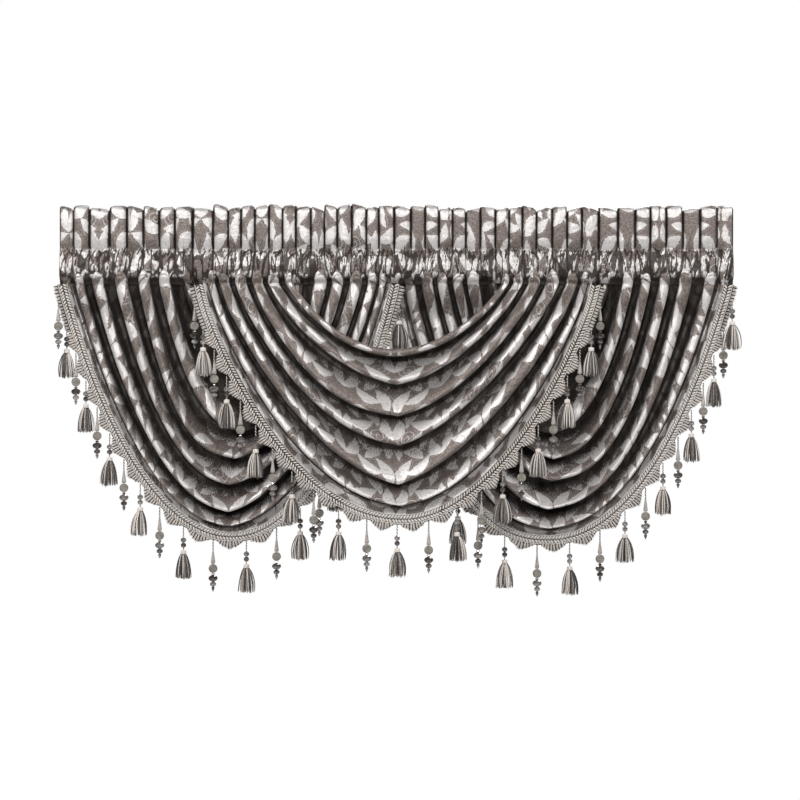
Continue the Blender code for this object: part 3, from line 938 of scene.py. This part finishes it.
class Bundle:
    """Threads or beads gathered into one mesh, each with its own tone from 0, dark, to 1, pale."""

    def __init__(self):
        self.points = []
        self.faces = []
        self.tones = []
        self.size = 0

    def tubes(self, paths, radii, tones, sides=4):
        """Closed round lengths along paths (lengths x stops x 3), radii in metres at each stop."""
        paths = np.asarray(paths)
        lengths, stops = paths.shape[:2]
        along = np.gradient(paths, axis=1)
        along /= np.linalg.norm(along, axis=2, keepdims=True)
        across = np.cross(along, (0.02, 1.0, 0.01))
        across /= np.linalg.norm(across, axis=2, keepdims=True)
        over = np.cross(across, along)
        turn = 2 * math.pi * (np.arange(sides) + 0.5) / sides
        ring = (across[:, :, None] * np.cos(turn)[:, None] + over[:, :, None] * np.sin(turn)[:, None])
        radii = np.broadcast_to(radii, (lengths, stops))
        points = paths[:, :, None] + ring * radii[:, :, None, None]
        corner = self.size + np.arange(lengths * stops * sides).reshape(lengths, stops, sides)
        beside = np.roll(corner, -1, axis=2)
        walls = np.stack([corner[:, :-1], corner[:, 1:], beside[:, 1:], beside[:, :-1]], axis=-1)
        self.points.append(points.reshape(-1, 3))
        self.faces += walls.reshape(-1, 4).tolist() + corner[:, 0].tolist() + corner[:, -1, ::-1].tolist()
        self.tones.append(np.repeat(np.broadcast_to(tones, lengths), stops * sides))
        self.size += points.size // 3

    def turned(self, spots, outline, tones, sides=8, axis=(0, 0, -1)):
        """Turned beads at each spot: outline of (distance along the axis, radius) in mm."""
        outline = np.array(outline) * MM
        paths = np.asarray(spots)[:, None] + outline[None, :, :1] * np.array(axis)
        self.tubes(paths, outline[:, 1], tones, sides)

    def piece(self, name, material, smooth=True):
        """The gathered threads or beads as an object of the scene."""
        mesh = bpy.data.meshes.new(name)
        mesh.from_pydata(np.concatenate(self.points).tolist(), [], self.faces)
        mesh.polygons.foreach_set("use_smooth", [smooth] * len(mesh.polygons))
        layer = mesh.attributes.new("tone", "FLOAT", "POINT")
        layer.data.foreach_set("value", np.concatenate(self.tones).astype(np.float32))
        mesh.materials.append(material)
        return link(bpy.data.objects.new(name, mesh))


def add_band(bundle, track, rng):
    """The woven band of a braid: a ground ribbon, cords and chained stitches."""
    length = track[0][-1] / MM
    run = np.linspace(1, length - 1, BAND_STOPS)
    ribbon = [on_hem(track, run[::2], -0.5 + RIBBON_PITCH * row, 0.9) for row in range(RIBBON_ROWS)]
    bundle.tubes(ribbon, 1.05 * MM, 0.0)
    for out, radius, tone in CORD_ROWS:
        wobble = 0.35 * np.sin(run * 2 * math.pi / STITCH_PITCH + out)
        bundle.tubes([on_hem(track, run, out + wobble, 2.0)], radius * MM, tone)
    stop = np.array(STITCH_STOPS)
    for row, (out, half) in enumerate(STITCH_ROWS):
        start = np.arange(2, length - 2 - STITCH_PITCH, STITCH_PITCH) + (row % 2) * STITCH_PITCH / 2
        jog = rng.normal(0, 0.3, (len(start), 1))
        along = start[:, None] + stop * STITCH_PITCH * STITCH_LEAN + jog
        hand = 1 if row else -1
        across = out + hand * half * (2 * stop - 1)
        stitches = on_hem(track, along, across, 1.6 + 1.2 * np.sin(math.pi * stop))
        bundle.tubes(stitches, np.array(STITCH_RADII) * MM, rng.normal(1.0, 0.12, len(start)), sides=6)


def add_shade_strands(bundle, track, along, out):
    """Near-black strands of painted shade behind a fan or a fringe, so that no light shows between its
    threads.
    """
    shade_strands = on_hem(track, along, FAN_START + out, SHADE_STRAND_LIFT)
    bundle.tubes(shade_strands, SHADE_STRAND_RADIUS * MM, SHADE_STRAND_TONE)


def add_fans(bundle, track, drops, rng):
    """Fans of pale and dark strands along a braid's edge, one between each two drops."""
    pitch = track[0][-1] / MM / drops
    strand = np.arange(FAN_STRANDS)
    lean = (strand + 0.5) / FAN_STRANDS * 2 - 1
    lean_column = lean[:, None]
    share = np.linspace(0, 1, FAN_STOPS)
    radii = np.interp(share, (0, 0.7, 1), (1.1, 1.35, 0.6)) * MM
    front = 1.2 + 0.9 * np.sin(math.pi * share)[None, :] + 0.7 * (strand % 2)[:, None]
    tallest = BRAID_WIDTH + FAN_RISE - FAN_START - FAN_NOTCH
    for peak in range(1, drops):
        if min(peak, drops - peak) * pitch < FANS_FROM:
            continue
        tall = FAN_NOTCH + tallest * (1 - np.abs(lean)) + rng.normal(0, 0.7, FAN_STRANDS)
        middle = (peak * pitch + lean * pitch * FAN_WIDTH)[:, None]
        reach = share * tall[:, None]
        strands = on_hem(track, middle + lean_column * 0.30 * reach, FAN_START + reach, front)
        tones = np.where(strand % 3 > 0, PALE_STRAND, 0.0) + rng.normal(0, 0.12, FAN_STRANDS)
        bundle.tubes(strands, radii, tones)
        deep_reach = reach[:, [0, -1]]
        add_shade_strands(bundle, track, middle + 1.0 + lean_column * 0.28 * deep_reach, 0.86 * deep_reach)


def add_edge_fringe(bundle, track, rng):
    """A straight fringe along both ends of a braid's edge, where it has no fans."""
    length = track[0][-1] / MM
    share = np.linspace(0, 1, FAN_STOPS)
    radii = np.interp(share, (0, 0.7, 1), (1.1, 1.3, 0.6)) * MM
    for start, stop in ((EDGE_INSET, FANS_FROM), (length - FANS_FROM, length - EDGE_INSET)):
        middle = np.arange(start, stop, EDGE_PITCH)[:, None]
        tall = EDGE_FRINGE + rng.normal(0, 1.2, middle.shape)
        edge = on_hem(track, middle, FAN_START + share * tall, 1.0)
        bundle.tubes(edge, radii, np.where(np.arange(len(middle)) % 3, PALE_STRAND, 0.05))
        add_shade_strands(bundle, track, middle + 1.2, 0.8 * share[[0, -1]] * tall)


def add_cords(bundle, roots, foot, rng):
    """Twisted cords of a dark and a pale ply hanging from each root."""
    below = np.linspace(-5, foot, CORD_STOPS)
    start = rng.uniform(0, 2 * math.pi, len(roots))[:, None]
    for ply, tone in ((0, 0.75), (math.pi, 0.2)):
        turn = start + ply + 2 * math.pi * below / CORD_TURN
        twist = [np.cos(turn) * CORD_PLY, np.sin(turn) * CORD_PLY, -below + 0 * turn]
        paths = np.array(roots)[:, None] + np.stack(twist, axis=-1) * MM
        bundle.tubes(paths, CORD_RADIUS * MM, tone)


def add_skirts(bundle, roots, rng):
    """Tassel skirts: fine strands from under each head, bound in pale and dark locks."""
    stop = np.linspace(0, 1, len(STRAND_RADII))
    flare = np.sin(math.pi / 2 * stop ** 0.75)[None, :]
    for root in roots:
        turn = np.arange(SKIRT_STRANDS) + rng.uniform(0, 1, SKIRT_STRANDS)
        turn = 2 * math.pi * turn / SKIRT_STRANDS * 3
        spread = rng.uniform(0.02, 1, SKIRT_STRANDS) ** 0.45
        wide = rng.uniform(*SKIRT_WIDTH)
        out = (SKIRT_NECK + (wide - SKIRT_NECK) * flare) * spread[:, None]
        bow = 1.1 * np.sin(math.pi * stop)[None, :] * rng.normal(0, 1, (SKIRT_STRANDS, 1))
        foot = SKIRT_FOOT - 3 * spread[:, None] ** 2 + rng.normal(0, 1.4, (SKIRT_STRANDS, 1))
        below = SKIRT_TOP + (foot - SKIRT_TOP) * stop
        x = (out + bow) * np.cos(turn)[:, None] + rng.normal(0, 1.5) * flare
        y = out * SKIRT_FLATNESS * np.sin(turn)[:, None]
        tones = rng.choice(SKIRT_TONES, SKIRT_STRANDS) + rng.normal(0, 0.12, SKIRT_STRANDS)
        paths = np.array(root)[None, None] + np.stack([x, y, -below], axis=-1) * MM
        bundle.tubes(paths, np.array(STRAND_RADII) * MM, np.clip(tones, 0, 1))


def dress_trim(swag, seed, thread, stone, glass):
    """Braid, tassels and bead drops of one swag, on its hem."""
    rng = np.random.default_rng(seed)
    track = hem_track(swag)
    pitch = track[0][-1] / MM / swag.drops
    edge = HEM_GAP / MM + BRAID_WIDTH - STRAND_ROOT
    roots = on_hem(track, (np.arange(swag.drops) + 0.5) * pitch, edge, 0.0)
    bead_roots = roots[0::2]
    tassel_roots = roots[1::2]
    braid = Bundle()
    add_band(braid, track, rng)
    add_fans(braid, track, swag.drops, rng)
    add_edge_fringe(braid, track, rng)
    fringe = Bundle()
    add_cords(fringe, bead_roots, BEAD_CORD, rng)
    add_cords(fringe, tassel_roots, TASSEL_CORD, rng)
    fringe.turned(bead_roots, WOUND_CONE, 0.5)
    fringe.turned(tassel_roots, HEAD_BAND, 0.97)
    add_skirts(fringe, tassel_roots, rng)
    discs = Bundle()
    discs.turned(bead_roots + np.array((0, 0, -DISC_BELOW)) * MM, DISC, 0.5, 24, axis=(0, 1, 0))
    beads = Bundle()
    for outline in DROP_BEADS:
        beads.turned(bead_roots, outline, rng.uniform(0, 1, len(bead_roots)))
    for outline in TASSEL_BEADS:
        beads.turned(tassel_roots, outline, rng.uniform(0, 1, len(tassel_roots)))
    pieces = [
        braid.piece(f"braid_{swag.name}", thread),
        fringe.piece(f"tassels_{swag.name}", thread),
        discs.piece(f"discs_{swag.name}", stone, smooth=False),
        beads.piece(f"beads_{swag.name}", glass, smooth=False),
    ]
    for piece in pieces:
        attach(piece, "root")
    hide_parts(f"trim_{swag.name}")
    return pieces


# Studio: the floor below the hanging valance, the dim surround and the soft lights
FLOOR_HEIGHT = -2.2
FLOOR_SIZE = 9
SHADE = (0.075, 0.075, 0.077)
Light = namedtuple("Light", "name place aim size power")
FLOOR_DARK = (0.86, 0.86, 0.86)
FLOOR_LIGHT = (0.9, 0.9, 0.9)
LIGHTS = (
    Light("left", (-2.5, -1.5, 1.5), (0, 0, -0.4), 1.2, 84),
    Light("right", (2.6, -1.4, 1.3), (0, 0, -0.4), 1.2, 68),
    Light("front", (-0.3, -4.4, 0.9), (0, 0, -0.45), 1.2, 95),
    Light("back", (0.6, 2.6, 0.9), (0, 0, -0.4), 1.6, 50),
)


def add_camera():
    """The camera at the photograph's angle."""
    centre_x = (PHOTO_SIZE / 2 - ORIGIN_PIXEL[0]) * PIXEL
    centre_z = (ORIGIN_PIXEL[1] - PHOTO_SIZE / 2) * PIXEL
    view = bpy.data.cameras.new("camera")
    view.sensor_width = SENSOR
    view.lens = SENSOR * CAMERA_DISTANCE / (PHOTO_SIZE * PIXEL)
    camera = link(bpy.data.objects.new("camera", view))
    camera.location = (centre_x, -CAMERA_DISTANCE, centre_z)
    camera.rotation_euler = (math.pi / 2, 0, 0)
    bpy.context.scene.camera = camera


def add_floor():
    """A plain pale floor."""
    bpy.ops.mesh.primitive_plane_add(size=FLOOR_SIZE, location=(0, 0, FLOOR_HEIGHT))
    floor = bpy.context.active_object
    floor.name = "floor"
    nodes = Nodes("pale_floor")
    grain = nodes.noise(nodes.place(), 3.0, 3.0)
    nodes.shade("Base Color", nodes.mix(grain, FLOOR_DARK, FLOOR_LIGHT))
    nodes.shade("Roughness", 0.8)
    floor.data.materials.append(nodes.material)


def add_surround():
    """A surround that is dim to the valance and white to the camera."""
    world = bpy.data.worlds.new("studio")
    bpy.context.scene.world = world
    world.use_nodes = True
    tree = world.node_tree
    seen = tree.nodes.new("ShaderNodeLightPath")
    bright = tree.nodes.new("ShaderNodeMix")
    bright.data_type = "RGBA"
    bright.inputs[6].default_value = (*SHADE, 1)
    bright.inputs[7].default_value = (1.0, 1.0, 1.0, 1)
    tree.links.new(seen.outputs["Is Camera Ray"], bright.inputs[0])
    tree.links.new(bright.outputs[2], tree.nodes["Background"].inputs["Color"])
    bpy.context.scene.view_settings.view_transform = "Standard"


def add_lights():
    """Soft square lamps aimed at the valance."""
    for light in LIGHTS:
        lamp = bpy.data.lights.new(light.name, "AREA")
        lamp.shape = "SQUARE"
        lamp.size = light.size
        lamp.energy = light.power
        thing = link(bpy.data.objects.new(light.name, lamp))
        thing.location = light.place
        aim = Vector(light.aim) - Vector(light.place)
        thing.rotation_euler = aim.to_track_quat("-Z", "Y").to_euler()


add_camera()
add_floor()
add_surround()
add_lights()
jacquard = jacquard_material()
thread = thread_material()
stone = stone_material()
glass = glass_material()
for number, swag in enumerate(SWAGS):
    trim = dress_trim(swag, 200 + number, thread, stone, glass)
    cloth, along, drop = cloth_panel(swag, 40 + 10 * number, jacquard)
    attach(cloth, "root")
    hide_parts(f"panel_{swag.name}")
for number, (name, recesses) in enumerate(HEADINGS.items()):
    gathered, points = heading_sheet(name, recesses, 100 + 7 * number, jacquard)
    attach(gathered, "root")
    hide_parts(name)
